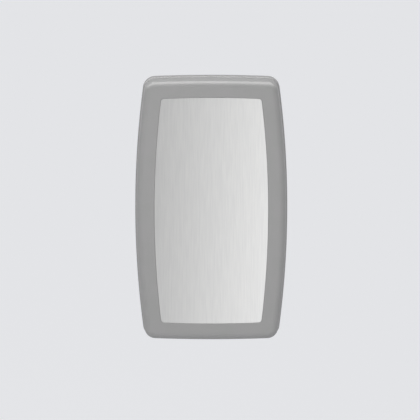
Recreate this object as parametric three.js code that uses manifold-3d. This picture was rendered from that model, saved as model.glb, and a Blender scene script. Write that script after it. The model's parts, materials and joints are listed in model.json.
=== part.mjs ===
import * as THREE from 'three';
import { mergeVertices } from 'three/addons/utils/BufferGeometryUtils.js';
import Module from 'manifold-3d';

// A vertical wall-hung changing station, folded shut. X runs right, Y into the wall and Z up.
// The wall face is Y = 0, and the origin is the middle of that face. All sizes are millimetres.

// Whole unit
const unitHeight = 892;
const unitWidth = 512;
const unitDepth = 110;
const sideBulge = 32;
const endCrown = 5;
const cornerRadius = 42;
const leastCorner = 12;

// Walls and gaps
const plasticWall = 3.5;
const faceWall = 6.5;
const clearance = 0.3;
const softClearance = 0.6;
const runningGap = 2;
const throughCut = 2;

// Wall shell
const shellDepth = 34;
const shellWidestDepth = 16;
const rimRound = 9;
const rimDraft = 0.5;
const rimInner = 18;
const floorDrop = 6;

// Bed
const seamGap = 3;
const bedRimInset = 4;
const bedDraft = 1.5;
const bedRound = 24;
const flangeInset = 4.5;
const flangeWidth = 22;
const panSlope = 100;
const panCornerTop = 20;
const panCornerFloor = 60;
const stiffenerRoom = 9;

// Stainless panel
const panelWidth = 383;
const panelHeight = 768;
const panelBulge = 23.5;
const panelCrown = 4;
const panelCorner = 12;
const panelThickness = 1;
const panelRecess = 2.1;
const panelGap = 0.5;

// Steel chassis on the wall
const chassisThickness = 3;
const railWidth = 40;
const railShort = 51;
const railGap = 4.23;
const barHeight = 36;
const holeFromEnd = 106;
const screwHoleRadius = 4.5;
const spacerRadius = 9;

// Main hinge
const hingeFromWall = 30;
const hingeFromBottom = 26;
const knuckleRadius = 9;
const hingePinRadius = 5;
const pinHeadRadius = 7.5;
const pinHeadLength = 3;
const wallKnuckleLength = 30;
const leafThickness = 4;
const wallLeafRise = 36;
const bedLeafRise = 116;
const hingeToGas = 50;
const notchMargin = 4;
const notchSide = 5;

// Bed stiffeners
const bedRailWidth = 30;
const bedRailSpacing = 100;
const bedRailEndInset = 66;
const bedRailTopInset = 116;
const braceHeight = 30;
const braceLength = 280;
const upperBraceFromTop = 196;

// Gas spring
const gasToRail = 23.2;
const leverReach = 18;
const leverAngle = -45;
const leverThickness = 4;
const leverWall = 4;
const slotInner = 8.3;
const slotWidth = 10.6;
const leverFootWidth = 24;
const leverFootHeight = 24;
const leverFootRise = 7;
const leverFootThickness = 3;
const gasPivotFromWall = 13;
const gasPivotRise = 190;
const gasEyeThickness = 9;
const tailEyeRadius = 9;
const rodEyeRadius = 9;
const eyeNeckRadius = 6;
const eyeNeckLength = 13;
const gasStudRadius = 4;
const gasPinRadius = 3.5;
const gasPinHead = 6;
const cylinderRadius = 7.5;
const cylinderLength = 91;
const cylinderEnd = 10;
const rodRadius = 4;
const rodEngaged = 39;
const bracketWidth = 28;
const bracketHeight = 24;
const bracketEar = 20;
const gasNotchWidth = 32;
const gasNotchRise = 46;

// Liner holder
const linerToRail = 53;
const linerOpeningHeight = 78;
const linerTopInset = 100;
const trayWall = 2;
const trayDepth = 18;
const trayMargin = 3;
const doorThickness = 3.5;
const doorGap = 1.8;
const doorBarrelRadius = 5;
const doorPinSetback = 4.1;
const linerPinRadius = 2;
const linerSlotLength = 90;
const linerSlotHeight = 14;

// Bag hooks
const hookToRail = 33;
const hookFromTop = 266;
const hookPlateWidth = 30;
const hookPlateHeight = 46;
const hookPlateThickness = 3;
const hookThickness = 12;
const hookBar = 7;
const hookThroat = 17;
const hookLip = 12;

// Rubber stops in the seam
const bumperRadius = 4;
const bumperFromEnd = 196;

// Safety strap and cam buckle
const strapWidth = 38;
const strapThickness = 1.6;
const anchorWidth = 48;
const anchorThickness = 2.4;
const anchorStart = 24;
const anchorEnd = 38;
const buckleLength = 60;
const buckleWidth = 48;
const bucklePlate = 2.5;
const cheekThickness = 4;
const cheekLength = 28;
const cheekHeight = 11.5;
const bucklePinRadius = 2;
const leverBarrelRadius = 4;
const buckleLeverLength = 36;
const buckleLeverPlate = 2;
const bucklePinSetback = 8;

// Facets
const sideSteps = 4;
const cornerSteps = 5;
const endSteps = 2;
const roundSteps = 5;
const panSteps = 8;
const barSides = 20;
const weldDistance = 1e-4;

// Places worked out from the sizes above
const degree = Math.PI / 180;
const quarterTurn = Math.PI / 2;
const unitOutline = {
  width: unitWidth, height: unitHeight, bulge: sideBulge, crown: endCrown, corner: cornerRadius,
};
const panelOutline = {
  width: panelWidth, height: panelHeight, bulge: panelBulge, crown: panelCrown, corner: panelCorner,
};
const rimFace = -shellDepth;
const floorFront = rimFace + floorDrop;
const floorBack = floorFront + plasticWall;
const floorInset = rimInner + floorDrop;
const chassisFront = -chassisThickness;
const flangeBack = rimFace - seamGap;
const flangeFront = flangeBack - plasticWall;
const bedFace = -unitDepth;
const bedInside = bedFace + faceWall;
const panUnder = bedInside + stiffenerRoom;
const panFloor = panUnder + plasticWall;
const hollowDepth = flangeBack - panFloor;
const bedRim = flangeFront - clearance;
const bedSideInset = bedRimInset + bedDraft;
const recessFloor = bedFace + panelRecess;
const panelBack = recessFloor - clearance;
const panelFront = panelBack - panelThickness;
const hingeY = -hingeFromWall;
const hingeZ = -unitHeight / 2 + hingeFromBottom;
const shellBottom = hingeZ - throughCut;
const railHalfLength = unitHeight / 2 - railShort;
const railX = outlineHalfWidth(unitOutline, railHalfLength) - plasticWall - railGap - railWidth / 2;
const barHalfLength = railX - railWidth / 2 - clearance;
const upperHoleRise = unitHeight / 2 - holeFromEnd;
const holeRises = [upperHoleRise, 0, -upperHoleRise];
const gasX = barHalfLength - gasToRail + clearance;
const hingeHalf = gasX - hingeToGas;
const bedKnuckleStart = wallKnuckleLength / 2 + runningGap;
const bedKnuckleEnd = hingeHalf - wallKnuckleLength - runningGap;
const hingeBore = hingePinRadius + clearance;
const hingeNotchHalf = hingeHalf + pinHeadLength + notchSide;
const hingeNotchTop = hingeZ + knuckleRadius + notchMargin;
const hingeNotchBottom = hingeZ - knuckleRadius - notchMargin;
const bottomBarZ = hingeZ + knuckleRadius - leafThickness + clearance + barHeight / 2;
const bedLeafBack = panUnder - clearance;
const bedLeafFront = bedLeafBack - leafThickness;
const bedRailBack = bedLeafFront - clearance;
const bedRailFront = bedInside + clearance;
const gasPivotZ = hingeZ + gasPivotRise;
const leverDirection = leverAngle * degree;
const leverPin = {
  y: hingeY + leverReach * Math.cos(leverDirection),
  z: hingeZ + leverReach * Math.sin(leverDirection),
};
const gasPivotY = -gasPivotFromWall;
const gasLength = Math.hypot(leverPin.y - gasPivotY, leverPin.z - gasPivotZ);
const gasTilt = Math.asin((leverPin.y - gasPivotY) / gasLength);
const gasEyeStart = gasX - gasEyeThickness / 2;
const leverX = gasEyeStart - softClearance - leverThickness / 2;
const gasNotchTop = hingeZ + gasNotchRise;
const linerHalf = barHalfLength - linerToRail + clearance;
const linerTop = unitHeight / 2 - linerTopInset;
const linerBottom = linerTop - linerOpeningHeight;
const doorFront = floorFront;
const doorPinY = floorBack + doorPinSetback;
const doorPinZ = linerBottom + doorBarrelRadius + doorGap;
const hookX = railX - hookToRail;
const hookRise = unitHeight / 2 - hookFromTop;
const bumperRise = unitHeight / 2 - bumperFromEnd;
const upperBraceRise = unitHeight / 2 - upperBraceFromTop;
const buckleBack = panFloor + softClearance;
const bucklePlateTop = buckleBack + bucklePlate;
const bucklePinY = bucklePlateTop + leverBarrelRadius + softClearance;

const wasm = await Module();
wasm.setup();
const station = new THREE.Group();

// Shape helpers

function arcRadius(chord, rise) {
  return (chord * chord / 4 + rise * rise) / (2 * rise);
}

function outlineHalfWidth(outline, z) {
  const radius = arcRadius(outline.height, outline.bulge);
  return outline.width / 2 - radius + Math.sqrt(radius * radius - z * z);
}

function arcPoints(x, y, radius, from, to, count) {
  const points = [];
  for (let i = 0; i < count; i++) {
    const angle = from + (to - from) * i / count;
    points.push([x + radius * Math.cos(angle), y + radius * Math.sin(angle)]);
  }
  return points;
}

// One ring of a barrel-sided outline, drawn in by an inset, with its four corners rounded
function outlineRing(outline, inset, y, corner = Math.max(outline.corner - inset, leastCorner)) {
  const sideRadius = arcRadius(outline.height, outline.bulge);
  const endRadius = arcRadius(outline.width - 2 * outline.bulge, outline.crown);
  const sideCentre = outline.width / 2 - sideRadius;
  const endCentre = outline.height / 2 - endRadius;
  const reach = Math.hypot(sideCentre, endCentre);
  const sideReach = sideRadius - inset - corner;
  const endReach = endRadius - inset - corner;
  const along = (sideReach ** 2 - endReach ** 2 + reach ** 2) / (2 * reach);
  const across = Math.sqrt(sideReach ** 2 - along ** 2);
  const cornerX = sideCentre - (along * sideCentre + across * endCentre) / reach;
  const cornerZ = (along * endCentre - across * sideCentre) / reach;
  const sideAngle = Math.atan2(cornerZ, cornerX - sideCentre);
  const endAngle = Math.atan2(cornerZ - endCentre, cornerX);
  const quarter = [
    ...arcPoints(sideCentre, 0, sideRadius - inset, 0, sideAngle, sideSteps),
    ...arcPoints(cornerX, cornerZ, corner, sideAngle, endAngle, cornerSteps),
    ...arcPoints(0, endCentre, endRadius - inset, endAngle, quarterTurn, endSteps),
    [0, outline.height / 2 - inset],
  ];
  const upper = [...quarter, ...quarter.slice(0, -1).reverse().map(([x, z]) => [-x, z])];
  const lower = upper.slice(1, -1).reverse().map(([x, z]) => [x, -z]);
  return [...upper, ...lower].map(([x, z]) => new THREE.Vector3(x, y, z));
}

// Rings from the front cap, over the edges, to the last cap behind
function loft(rings) {
  const count = rings[0].length;
  const last = (rings.length - 1) * count;
  const indices = [];
  for (let start = 0; start < last; start += count) {
    for (let i = 0; i < count; i++) {
      const a = start + i;
      const b = start + (i + 1) % count;
      indices.push(a, a + count, b, b, a + count, b + count);
    }
  }
  for (let i = 1; i + 1 < count; i++) {
    indices.push(0, i, i + 1, last, last + i + 1, last + i);
  }
  const geometry = new THREE.BufferGeometry().setFromPoints(rings.flat());
  geometry.setIndex(indices);
  return geometry;
}

function loftProfile(outline, profile) {
  return loft(profile.map(([inset, y, corner]) => outlineRing(outline, inset, y, corner)));
}

function block([x0, x1], [y0, y1], [z0, z1]) {
  const geometry = new THREE.BoxGeometry(x1 - x0, y1 - y0, z1 - z0);
  return geometry.translate((x0 + x1) / 2, (y0 + y1) / 2, (z0 + z1) / 2);
}

function turned(profile) {
  return new THREE.LatheGeometry(profile.map(([r, y]) => new THREE.Vector2(r, y)), barSides);
}

function rod(radius, length) {
  return new THREE.CylinderGeometry(radius, radius, length, barSides);
}

function sleeve(inner, outer, length) {
  const half = length / 2;
  return turned([[inner, -half], [outer, -half], [outer, half], [inner, half], [inner, -half]]);
}

function alongX(geometry) {
  return geometry.rotateZ(-quarterTurn);
}

function alongZ(geometry) {
  return geometry.rotateX(quarterTurn);
}

// A flat shape drawn in Y and Z, given a thickness along X
function plateInYZ(shape, thickness) {
  const geometry = new THREE.ExtrudeGeometry(shape, {
    depth: thickness, bevelEnabled: false, curveSegments: barSides / 2,
  });
  geometry.translate(0, 0, -thickness / 2);
  geometry.rotateX(quarterTurn);
  return geometry.rotateZ(quarterTurn);
}

// A flat shape drawn in X and Y, given a thickness along Z
function plateInXY(shape, thickness) {
  const geometry = new THREE.ExtrudeGeometry(shape, { depth: thickness, bevelEnabled: false });
  return geometry.translate(0, 0, -thickness / 2);
}

// Joining and cutting

function solid(geometry) {
  const bare = geometry.clone();
  bare.deleteAttribute('normal');
  bare.deleteAttribute('uv');
  const welded = mergeVertices(bare, weldDistance);
  return new wasm.Manifold(new wasm.Mesh({
    numProp: 3,
    vertProperties: welded.attributes.position.array,
    triVerts: Uint32Array.from(welded.index.array),
  }));
}

function joined(...geometries) {
  return geometries.map(solid).reduce((sum, next) => sum.add(next));
}

function cut(body, ...tools) {
  return tools.map(solid).reduce((rest, tool) => rest.subtract(tool), body);
}

function geometryOf(body) {
  const mesh = body.getMesh();
  const geometry = new THREE.BufferGeometry();
  geometry.setAttribute('position', new THREE.BufferAttribute(mesh.vertProperties, 3));
  geometry.setIndex(new THREE.BufferAttribute(mesh.triVerts, 1));
  return geometry;
}

function addPiece(name, geometry, finish, parent = station) {
  const piece = new THREE.Mesh(geometry, finish());
  piece.name = name;
  parent.add(piece);
  return piece;
}

// Finishes

function polyethylene() {
  return new THREE.MeshStandardMaterial({ color: 0x9a9a9b, roughness: 0.55, metalness: 0 });
}

function brushedStainless() {
  return new THREE.MeshStandardMaterial({ color: 0xc9c9c8, roughness: 0.35, metalness: 1 });
}

function zincSteel() {
  return new THREE.MeshStandardMaterial({ color: 0xa8abae, roughness: 0.4, metalness: 1 });
}

function powderSteel() {
  return new THREE.MeshStandardMaterial({ color: 0x2b2c2e, roughness: 0.6, metalness: 0.2 });
}

function chromedSteel() {
  return new THREE.MeshStandardMaterial({ color: 0xd5d7da, roughness: 0.12, metalness: 1 });
}

function blackNylon() {
  return new THREE.MeshStandardMaterial({ color: 0x1d1e20, roughness: 0.5, metalness: 0 });
}

function blackWebbing() {
  return new THREE.MeshStandardMaterial({ color: 0x232427, roughness: 0.9, metalness: 0 });
}

function blackRubber() {
  return new THREE.MeshStandardMaterial({ color: 0x18191a, roughness: 0.85, metalness: 0 });
}

// Wall shell: a tray open to the wall, with a raised rim round its front

function wallShellOuter() {
  const centre = [rimDraft + rimRound, rimFace + rimRound];
  return loftProfile(unitOutline, [
    [floorInset, floorFront],
    [rimInner, rimFace],
    ...arcPoints(...centre, rimRound, -quarterTurn, -Math.PI, roundSteps),
    [rimDraft, rimFace + rimRound],
    [0, -shellWidestDepth],
    [0, 0],
  ]);
}

function wallShellHollow() {
  const slantShift = plasticWall * (Math.SQRT2 - 1);
  const innerRound = rimRound - plasticWall;
  const centre = [rimDraft + rimRound, rimFace + rimRound];
  return loftProfile(unitOutline, [
    [floorInset - slantShift, floorBack],
    [rimInner - slantShift, rimFace + plasticWall],
    ...arcPoints(...centre, innerRound, -quarterTurn, -Math.PI, roundSteps),
    [rimDraft + plasticWall, rimFace + rimRound],
    [plasticWall, -shellWidestDepth],
    [plasticWall, throughCut],
  ]);
}

function aboveHeight(z) {
  return block([-unitWidth, unitWidth], [-unitDepth, unitDepth], [z, unitHeight]);
}

function screwHole(x, z) {
  return rod(screwHoleRadius, 2 * unitDepth).translate(x, 0, z);
}

function addWallShell() {
  const outer = solid(wallShellOuter()).intersect(solid(aboveHeight(shellBottom)));
  const hollow = solid(wallShellHollow()).intersect(solid(aboveHeight(shellBottom + plasticWall)));
  const depthRange = [rimFace - throughCut, throughCut];
  const belowShell = shellBottom - throughCut;
  const hingeNotch = block([-hingeNotchHalf, hingeNotchHalf], depthRange, [belowShell, hingeNotchTop]);
  const gasNotchRange = [gasX - gasNotchWidth / 2, gasX + gasNotchWidth / 2];
  const gasNotch = block(gasNotchRange, depthRange, [belowShell, gasNotchTop]);
  const linerOpening = block([-linerHalf, linerHalf], depthRange, [linerBottom, linerTop]);
  const holes = [-railX, railX].flatMap((x) => holeRises.map((z) => screwHole(x, z)));
  const shell = cut(outer.subtract(hollow), hingeNotch, gasNotch, linerOpening, ...holes);
  addPiece('wall_shell', geometryOf(shell), polyethylene);
}

// Steel chassis: two upright rails on the studs, with cross bars between them

function addChassis() {
  for (const [side, x] of [['left', -railX], ['right', railX]]) {
    const width = [x - railWidth / 2, x + railWidth / 2];
    const rail = block(width, [chassisFront, 0], [-railHalfLength, railHalfLength]);
    const drilled = cut(solid(rail), ...holeRises.map((z) => screwHole(x, z)));
    addPiece(`chassis_rail_${side}`, geometryOf(drilled), zincSteel);
  }
  const bars = { top: upperHoleRise, middle: 0, lower: gasPivotZ, bottom: bottomBarZ };
  for (const [place, z] of Object.entries(bars)) {
    const heightRange = [z - barHeight / 2, z + barHeight / 2];
    const bar = block([-barHalfLength, barHalfLength], [chassisFront, 0], heightRange);
    addPiece(`chassis_bar_${place}`, bar, zincSteel);
  }
}

function addMountSpacers() {
  const length = chassisFront - floorBack - 2 * clearance;
  const y = (chassisFront + floorBack) / 2;
  let number = 1;
  for (const x of [-railX, railX]) {
    for (const z of holeRises) {
      const spacer = sleeve(screwHoleRadius, spacerRadius, length);
      addPiece(`mount_spacer_${number}`, spacer, zincSteel).position.set(x, y, z);
      number += 1;
    }
  }
}

// Main hinge: five knuckles on one pin, with a bent leaf on each side

function knuckle(from, to) {
  return alongX(rod(knuckleRadius, to - from)).translate((from + to) / 2, hingeY, hingeZ);
}

function hingeBoreTool() {
  return alongX(rod(hingeBore, 2 * unitWidth)).translate(0, hingeY, hingeZ);
}

function knuckleRelief(from, to) {
  const reach = knuckleRadius + softClearance;
  return block([from, to], [hingeY - reach, hingeY + reach], [hingeZ - reach, hingeZ + reach]);
}

function addHingeWallLeaf() {
  const width = [-hingeHalf, hingeHalf];
  const leafBack = chassisFront - clearance;
  const top = hingeZ + knuckleRadius;
  const ledge = block(width, [hingeY, leafBack], [top - leafThickness, top]);
  const uprightRange = [top - leafThickness, top + wallLeafRise];
  const upright = block(width, [leafBack - leafThickness, leafBack], uprightRange);
  const plate = cut(
    joined(ledge, upright),
    knuckleRelief(-hingeHalf + wallKnuckleLength, -wallKnuckleLength / 2),
    knuckleRelief(wallKnuckleLength / 2, hingeHalf - wallKnuckleLength),
  );
  const knuckles = joined(
    knuckle(-hingeHalf, -hingeHalf + wallKnuckleLength),
    knuckle(-wallKnuckleLength / 2, wallKnuckleLength / 2),
    knuckle(hingeHalf - wallKnuckleLength, hingeHalf),
  );
  addPiece('hinge_wall_leaf', geometryOf(cut(plate.add(knuckles), hingeBoreTool())), zincSteel);
}

function addHingeBedLeaf() {
  const width = [-bedKnuckleEnd, bedKnuckleEnd];
  const bottom = hingeZ - knuckleRadius;
  const ledge = block(width, [bedLeafFront, hingeY], [bottom, bottom + leafThickness]);
  const upright = block(width, [bedLeafFront, bedLeafBack], [bottom, bottom + bedLeafRise]);
  const plate = cut(joined(ledge, upright), knuckleRelief(-bedKnuckleStart, bedKnuckleStart));
  const knuckles = joined(
    knuckle(-bedKnuckleEnd, -bedKnuckleStart),
    knuckle(bedKnuckleStart, bedKnuckleEnd),
  );
  addPiece('hinge_bed_leaf', geometryOf(cut(plate.add(knuckles), hingeBoreTool())), zincSteel);
}

function addHingePin() {
  const end = hingeHalf + clearance;
  const pin = turned([
    [0, -end - pinHeadLength],
    [pinHeadRadius, -end - pinHeadLength],
    [pinHeadRadius, -end],
    [hingePinRadius, -end],
    [hingePinRadius, end + pinHeadLength],
    [0, end + pinHeadLength],
  ]);
  addPiece('hinge_pin', alongX(pin), zincSteel).position.set(0, hingeY, hingeZ);
  const inner = wallKnuckleLength / 2 + runningGap / 2;
  const outer = bedKnuckleEnd + runningGap / 2;
  [-outer, -inner, inner, outer].forEach((x, i) => {
    const washer = alongX(sleeve(hingeBore, knuckleRadius, runningGap - 2 * clearance));
    addPiece(`hinge_washer_${i + 1}`, washer, blackNylon).position.set(x, hingeY, hingeZ);
  });
}

// Bed: a drafted front shell, a let-in panel and a hollow pan behind them

function addBedShell() {
  const outerCentre = bedSideInset + bedRound;
  const innerRound = bedRound - faceWall;
  const innerSide = bedSideInset + plasticWall;
  const roundStart = bedFace + bedRound;
  const body = loftProfile(unitOutline, [
    ...arcPoints(outerCentre, roundStart, bedRound, -quarterTurn, -Math.PI, roundSteps),
    [bedSideInset, roundStart],
    [bedRimInset, bedRim],
    [bedRimInset + plasticWall, bedRim],
    ...arcPoints(innerSide + innerRound, roundStart, innerRound, -Math.PI, -quarterTurn, roundSteps),
    [innerSide + innerRound, bedInside],
  ]);
  const recess = loftProfile(panelOutline, [
    [-panelGap, bedFace - throughCut],
    [-panelGap, recessFloor],
  ]);
  addPiece('bed_shell', geometryOf(cut(solid(body), recess)), polyethylene);
}

function addSteelPanel() {
  const sheet = loftProfile(panelOutline, [[0, panelFront], [0, panelBack]]);
  addPiece('steel_panel', sheet, brushedStainless);
}

// Depth of the changing surface below the flange, along an S-shaped slope
function panStations() {
  return Array.from({ length: panSteps + 1 }, (_, i) => {
    const t = i / panSteps;
    const drop = hollowDepth * t * t * (3 - 2 * t);
    const corner = panCornerTop + (panCornerFloor - panCornerTop) * t;
    return { inset: flangeWidth + panSlope * t, y: flangeBack - drop, corner };
  });
}

function addBedPan() {
  const stations = panStations();
  const top = stations.map(({ inset, y, corner }) => [inset, y, corner]);
  const under = stations.map(({ inset, y, corner }) => [inset, y - plasticWall, corner]).reverse();
  const body = loftProfile(unitOutline, [
    ...under,
    [flangeInset, flangeFront],
    [flangeInset, flangeBack],
    ...top,
  ]);
  const notch = block(
    [-hingeNotchHalf, hingeNotchHalf],
    [panFloor, flangeBack + throughCut],
    [hingeNotchBottom, hingeNotchTop],
  );
  addPiece('bed_pan', geometryOf(cut(solid(body), notch)), polyethylene);
}

function addBedStiffeners() {
  const heightRange = [-unitHeight / 2 + bedRailEndInset, unitHeight / 2 - bedRailTopInset];
  for (const [side, x] of [['left', -bedRailSpacing / 2], ['right', bedRailSpacing / 2]]) {
    const width = [x - bedRailWidth / 2, x + bedRailWidth / 2];
    addPiece(`bed_rail_${side}`, block(width, [bedRailFront, bedRailBack], heightRange), zincSteel);
  }
  for (const [place, z] of [['upper', upperBraceRise], ['middle', 0]]) {
    const depthRange = [bedLeafFront, bedLeafBack];
    const braceRange = [z - braceHeight / 2, z + braceHeight / 2];
    const brace = block([-braceLength / 2, braceLength / 2], depthRange, braceRange);
    addPiece(`bed_brace_${place}`, brace, zincSteel);
  }
}

// Gas spring: a slotted lever on the bed, and a cylinder that swings on the wall chassis

function slotPath(from, to, radius) {
  const along = (reach) => [
    hingeY + reach * Math.cos(leverDirection),
    hingeZ + reach * Math.sin(leverDirection),
  ];
  const path = new THREE.Path();
  path.absarc(...along(to), radius, leverDirection - quarterTurn, leverDirection + quarterTurn);
  path.absarc(...along(from), radius, leverDirection + quarterTurn, leverDirection + 3 * quarterTurn);
  path.closePath();
  return path;
}

function addGasLever() {
  const slotRadius = slotWidth / 2;
  const slotOuter = leverReach + gasPinRadius + softClearance;
  const footBack = flangeBack + clearance;
  const footTop = hingeZ + leverFootRise;
  const footRange = [footTop - leverFootHeight, footTop];
  const tipReach = slotOuter - slotRadius;
  const tip = [
    hingeY + tipReach * Math.cos(leverDirection),
    hingeZ + tipReach * Math.sin(leverDirection),
  ];
  const outline = new THREE.Shape();
  outline.moveTo(footBack, footRange[1]);
  outline.lineTo(footBack, footRange[0]);
  outline.absarc(...tip, slotRadius + leverWall, leverDirection - quarterTurn, leverDirection + quarterTurn);
  outline.closePath();
  outline.holes.push(slotPath(slotInner + slotRadius, tipReach, slotRadius));
  const blade = plateInYZ(outline, leverThickness).translate(leverX, 0, 0);
  const footStart = leverX - leverThickness / 2;
  const footDepth = [footBack, footBack + leverFootThickness];
  const foot = block([footStart, footStart + leverFootWidth], footDepth, footRange);
  addPiece('gas_lever', geometryOf(joined(blade, foot)), zincSteel);
}

function addGasBracket() {
  const back = chassisFront - clearance;
  const earRange = [leverX - leverThickness / 2, leverX + leverThickness / 2];
  const base = block(
    [earRange[1] - bracketWidth, earRange[1]],
    [back - leafThickness, back],
    [gasPivotZ - bracketHeight / 2, gasPivotZ + bracketHeight / 2],
  );
  const ear = block(
    earRange,
    [gasPivotY - bracketEar / 2, back],
    [gasPivotZ - bracketEar / 2, gasPivotZ + bracketEar / 2],
  );
  const hole = alongX(rod(gasStudRadius + clearance, unitWidth)).translate(leverX, gasPivotY, gasPivotZ);
  addPiece('gas_bracket', geometryOf(cut(joined(base, ear), hole)), zincSteel);
  const studStart = earRange[0] - runningGap;
  const studEnd = gasX + gasEyeThickness / 2 + runningGap;
  const stud = alongX(rod(gasStudRadius, studEnd - studStart));
  addPiece('gas_stud', stud, zincSteel).position.set((studStart + studEnd) / 2, gasPivotY, gasPivotZ);
}

function eye(radius, bore, neckFrom, neckTo) {
  const ring = alongX(rod(radius, gasEyeThickness));
  const neck = alongZ(rod(eyeNeckRadius, Math.abs(neckTo - neckFrom)));
  neck.translate(0, 0, (neckFrom + neckTo) / 2);
  const hole = alongX(rod(bore, unitWidth));
  const trim = [-gasEyeThickness / 2, gasEyeThickness / 2];
  const neckTrim = block(trim, [-unitDepth, unitDepth], [-unitDepth, unitDepth]);
  const flatSided = joined(ring, neck).intersect(solid(neckTrim));
  return geometryOf(cut(flatSided, hole));
}

function addGasSpring() {
  const swing = new THREE.Group();
  swing.position.set(gasX, gasPivotY, gasPivotZ);
  swing.rotation.x = gasTilt;
  station.add(swing);
  const tailNeckEnd = -eyeNeckLength;
  const tail = eye(tailEyeRadius, gasStudRadius + clearance, 0, tailNeckEnd);
  addPiece('gas_tail_eye', tail, zincSteel, swing);
  const cylinderTop = tailNeckEnd - clearance;
  const cylinderBottom = cylinderTop - cylinderLength;
  const cylinderBore = rodRadius + clearance;
  const cylinder = turned([
    [0, cylinderTop - cylinderEnd],
    [cylinderBore, cylinderTop - cylinderEnd],
    [cylinderBore, cylinderBottom],
    [cylinderRadius, cylinderBottom],
    [cylinderRadius, cylinderTop],
    [0, cylinderTop],
  ]);
  addPiece('gas_cylinder', alongZ(cylinder), powderSteel, swing);
  const rodTop = cylinderBottom + rodEngaged;
  const rodBottom = -gasLength + eyeNeckLength + clearance;
  const pistonRod = alongZ(rod(rodRadius, rodTop - rodBottom));
  addPiece('gas_rod', pistonRod, chromedSteel, swing).position.z = (rodTop + rodBottom) / 2;
  const rodEye = eye(rodEyeRadius, gasPinRadius + clearance, 0, eyeNeckLength);
  addPiece('gas_rod_eye', rodEye, zincSteel, swing).position.z = -gasLength;
  const pinStart = leverX - leverThickness / 2 - runningGap - gasX;
  const pinEnd = gasEyeThickness / 2 + clearance;
  const pin = turned([
    [0, pinStart],
    [gasPinRadius, pinStart],
    [gasPinRadius, pinEnd],
    [gasPinHead, pinEnd],
    [gasPinHead, pinEnd + runningGap],
    [0, pinEnd + runningGap],
  ]);
  addPiece('gas_rod_pin', alongX(pin), zincSteel, swing).position.z = -gasLength;
}

// Liner holder: a tray behind the shell, and a door that tilts out on its bottom pin

function addLinerTray() {
  const outerHalf = linerHalf + trayMargin;
  const front = floorBack + clearance;
  const back = front + trayDepth;
  const outerRange = [linerBottom - trayMargin, linerTop + trayMargin];
  const outer = block([-outerHalf, outerHalf], [front, back], outerRange);
  const innerHalf = outerHalf - trayWall;
  const heightRange = [outerRange[0] + trayWall, outerRange[1] - trayWall];
  const inner = block([-innerHalf, innerHalf], [front - throughCut, back - trayWall], heightRange);
  const pinHole = alongX(rod(linerPinRadius + clearance, unitWidth)).translate(0, doorPinY, doorPinZ);
  addPiece('liner_tray', geometryOf(cut(solid(outer), inner, pinHole)), polyethylene);
  const pin = alongX(rod(linerPinRadius, 2 * (outerHalf + clearance)));
  addPiece('liner_pin', pin, zincSteel).position.set(0, doorPinY, doorPinZ);
}

function addLinerDoor() {
  const half = linerHalf - doorGap;
  const panel = block([-half, half], [doorFront, doorFront + doorThickness], [doorPinZ, linerTop - doorGap]);
  const barrel = alongX(rod(doorBarrelRadius, 2 * half)).translate(0, doorPinY, doorPinZ);
  const bore = alongX(rod(linerPinRadius + clearance, unitWidth)).translate(0, doorPinY, doorPinZ);
  const slotZ = (doorPinZ + linerTop) / 2;
  const slotReach = linerSlotLength / 2 - linerSlotHeight / 2;
  const slotDepth = [doorFront - throughCut, doorFront + doorThickness + throughCut];
  const slotRange = [slotZ - linerSlotHeight / 2, slotZ + linerSlotHeight / 2];
  const slotBox = block([-slotReach, slotReach], slotDepth, slotRange);
  const slotEnds = [-slotReach, slotReach].map((x) => {
    const depth = slotDepth[1] - slotDepth[0];
    return rod(linerSlotHeight / 2, depth).translate(x, (slotDepth[0] + slotDepth[1]) / 2, slotZ);
  });
  addPiece('liner_door', geometryOf(cut(joined(panel, barrel), bore, slotBox, ...slotEnds)), polyethylene);
}

// Bag hooks on the wall shell

function hookShape() {
  const inner = hookBar / 2;
  const outer = inner + hookBar;
  const bend = hookThroat - inner;
  const shape = new THREE.Shape();
  shape.moveTo(0, -outer);
  shape.lineTo(bend, -outer);
  shape.absarc(bend, 0, outer, -quarterTurn, 0);
  shape.lineTo(bend + outer, hookLip);
  shape.absarc(bend + inner + hookBar / 2, hookLip, hookBar / 2, 0, Math.PI);
  shape.lineTo(bend + inner, 0);
  shape.absarc(bend, 0, inner, 0, -quarterTurn, true);
  shape.lineTo(0, -inner);
  shape.closePath();
  return shape;
}

function addBagHooks() {
  for (const [side, x] of [['left', -hookX], ['right', hookX]]) {
    const plateFront = floorFront - clearance - hookPlateThickness;
    const plate = block(
      [x - hookPlateWidth / 2, x + hookPlateWidth / 2],
      [plateFront, plateFront + hookPlateThickness],
      [hookRise - hookPlateHeight / 2, hookRise + hookPlateHeight / 2],
    );
    const hook = plateInYZ(hookShape(), hookThickness);
    hook.rotateZ(Math.PI).translate(x, plateFront, hookRise);
    addPiece(`bag_hook_${side}`, geometryOf(joined(plate, hook)), polyethylene);
  }
}

function addBumpers() {
  const thickness = seamGap - 2 * clearance;
  const rimMiddle = (rimDraft + rimRound + rimInner) / 2;
  const x = outlineHalfWidth(unitOutline, bumperRise) - rimMiddle;
  let number = 1;
  for (const [signX, signZ] of [[-1, 1], [1, 1], [1, -1], [-1, -1]]) {
    const bumper = addPiece(`closing_bumper_${number}`, rod(bumperRadius, thickness), blackRubber);
    bumper.position.set(signX * x, (rimFace + flangeBack) / 2, signZ * bumperRise);
    number += 1;
  }
}

// Safety strap: two webbing halves that lie on the pan and meet at a cam buckle

function panStretch(from, to) {
  const half = unitWidth / 2;
  const between = (inset) => {
    const stations = panStations();
    const next = stations.findIndex((station) => station.inset >= inset);
    if (next < 0) return panFloor;
    const [a, b] = [stations[Math.max(next - 1, 0)], stations[Math.max(next, 1)]];
    return a.y + (b.y - a.y) * (inset - a.inset) / (b.inset - a.inset);
  };
  const inner = panStations().map(({ inset }) => inset).filter((inset) => inset > from && inset < to);
  return [from, ...inner, to].map((inset) => [half - inset, between(inset) + softClearance]);
}

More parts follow.
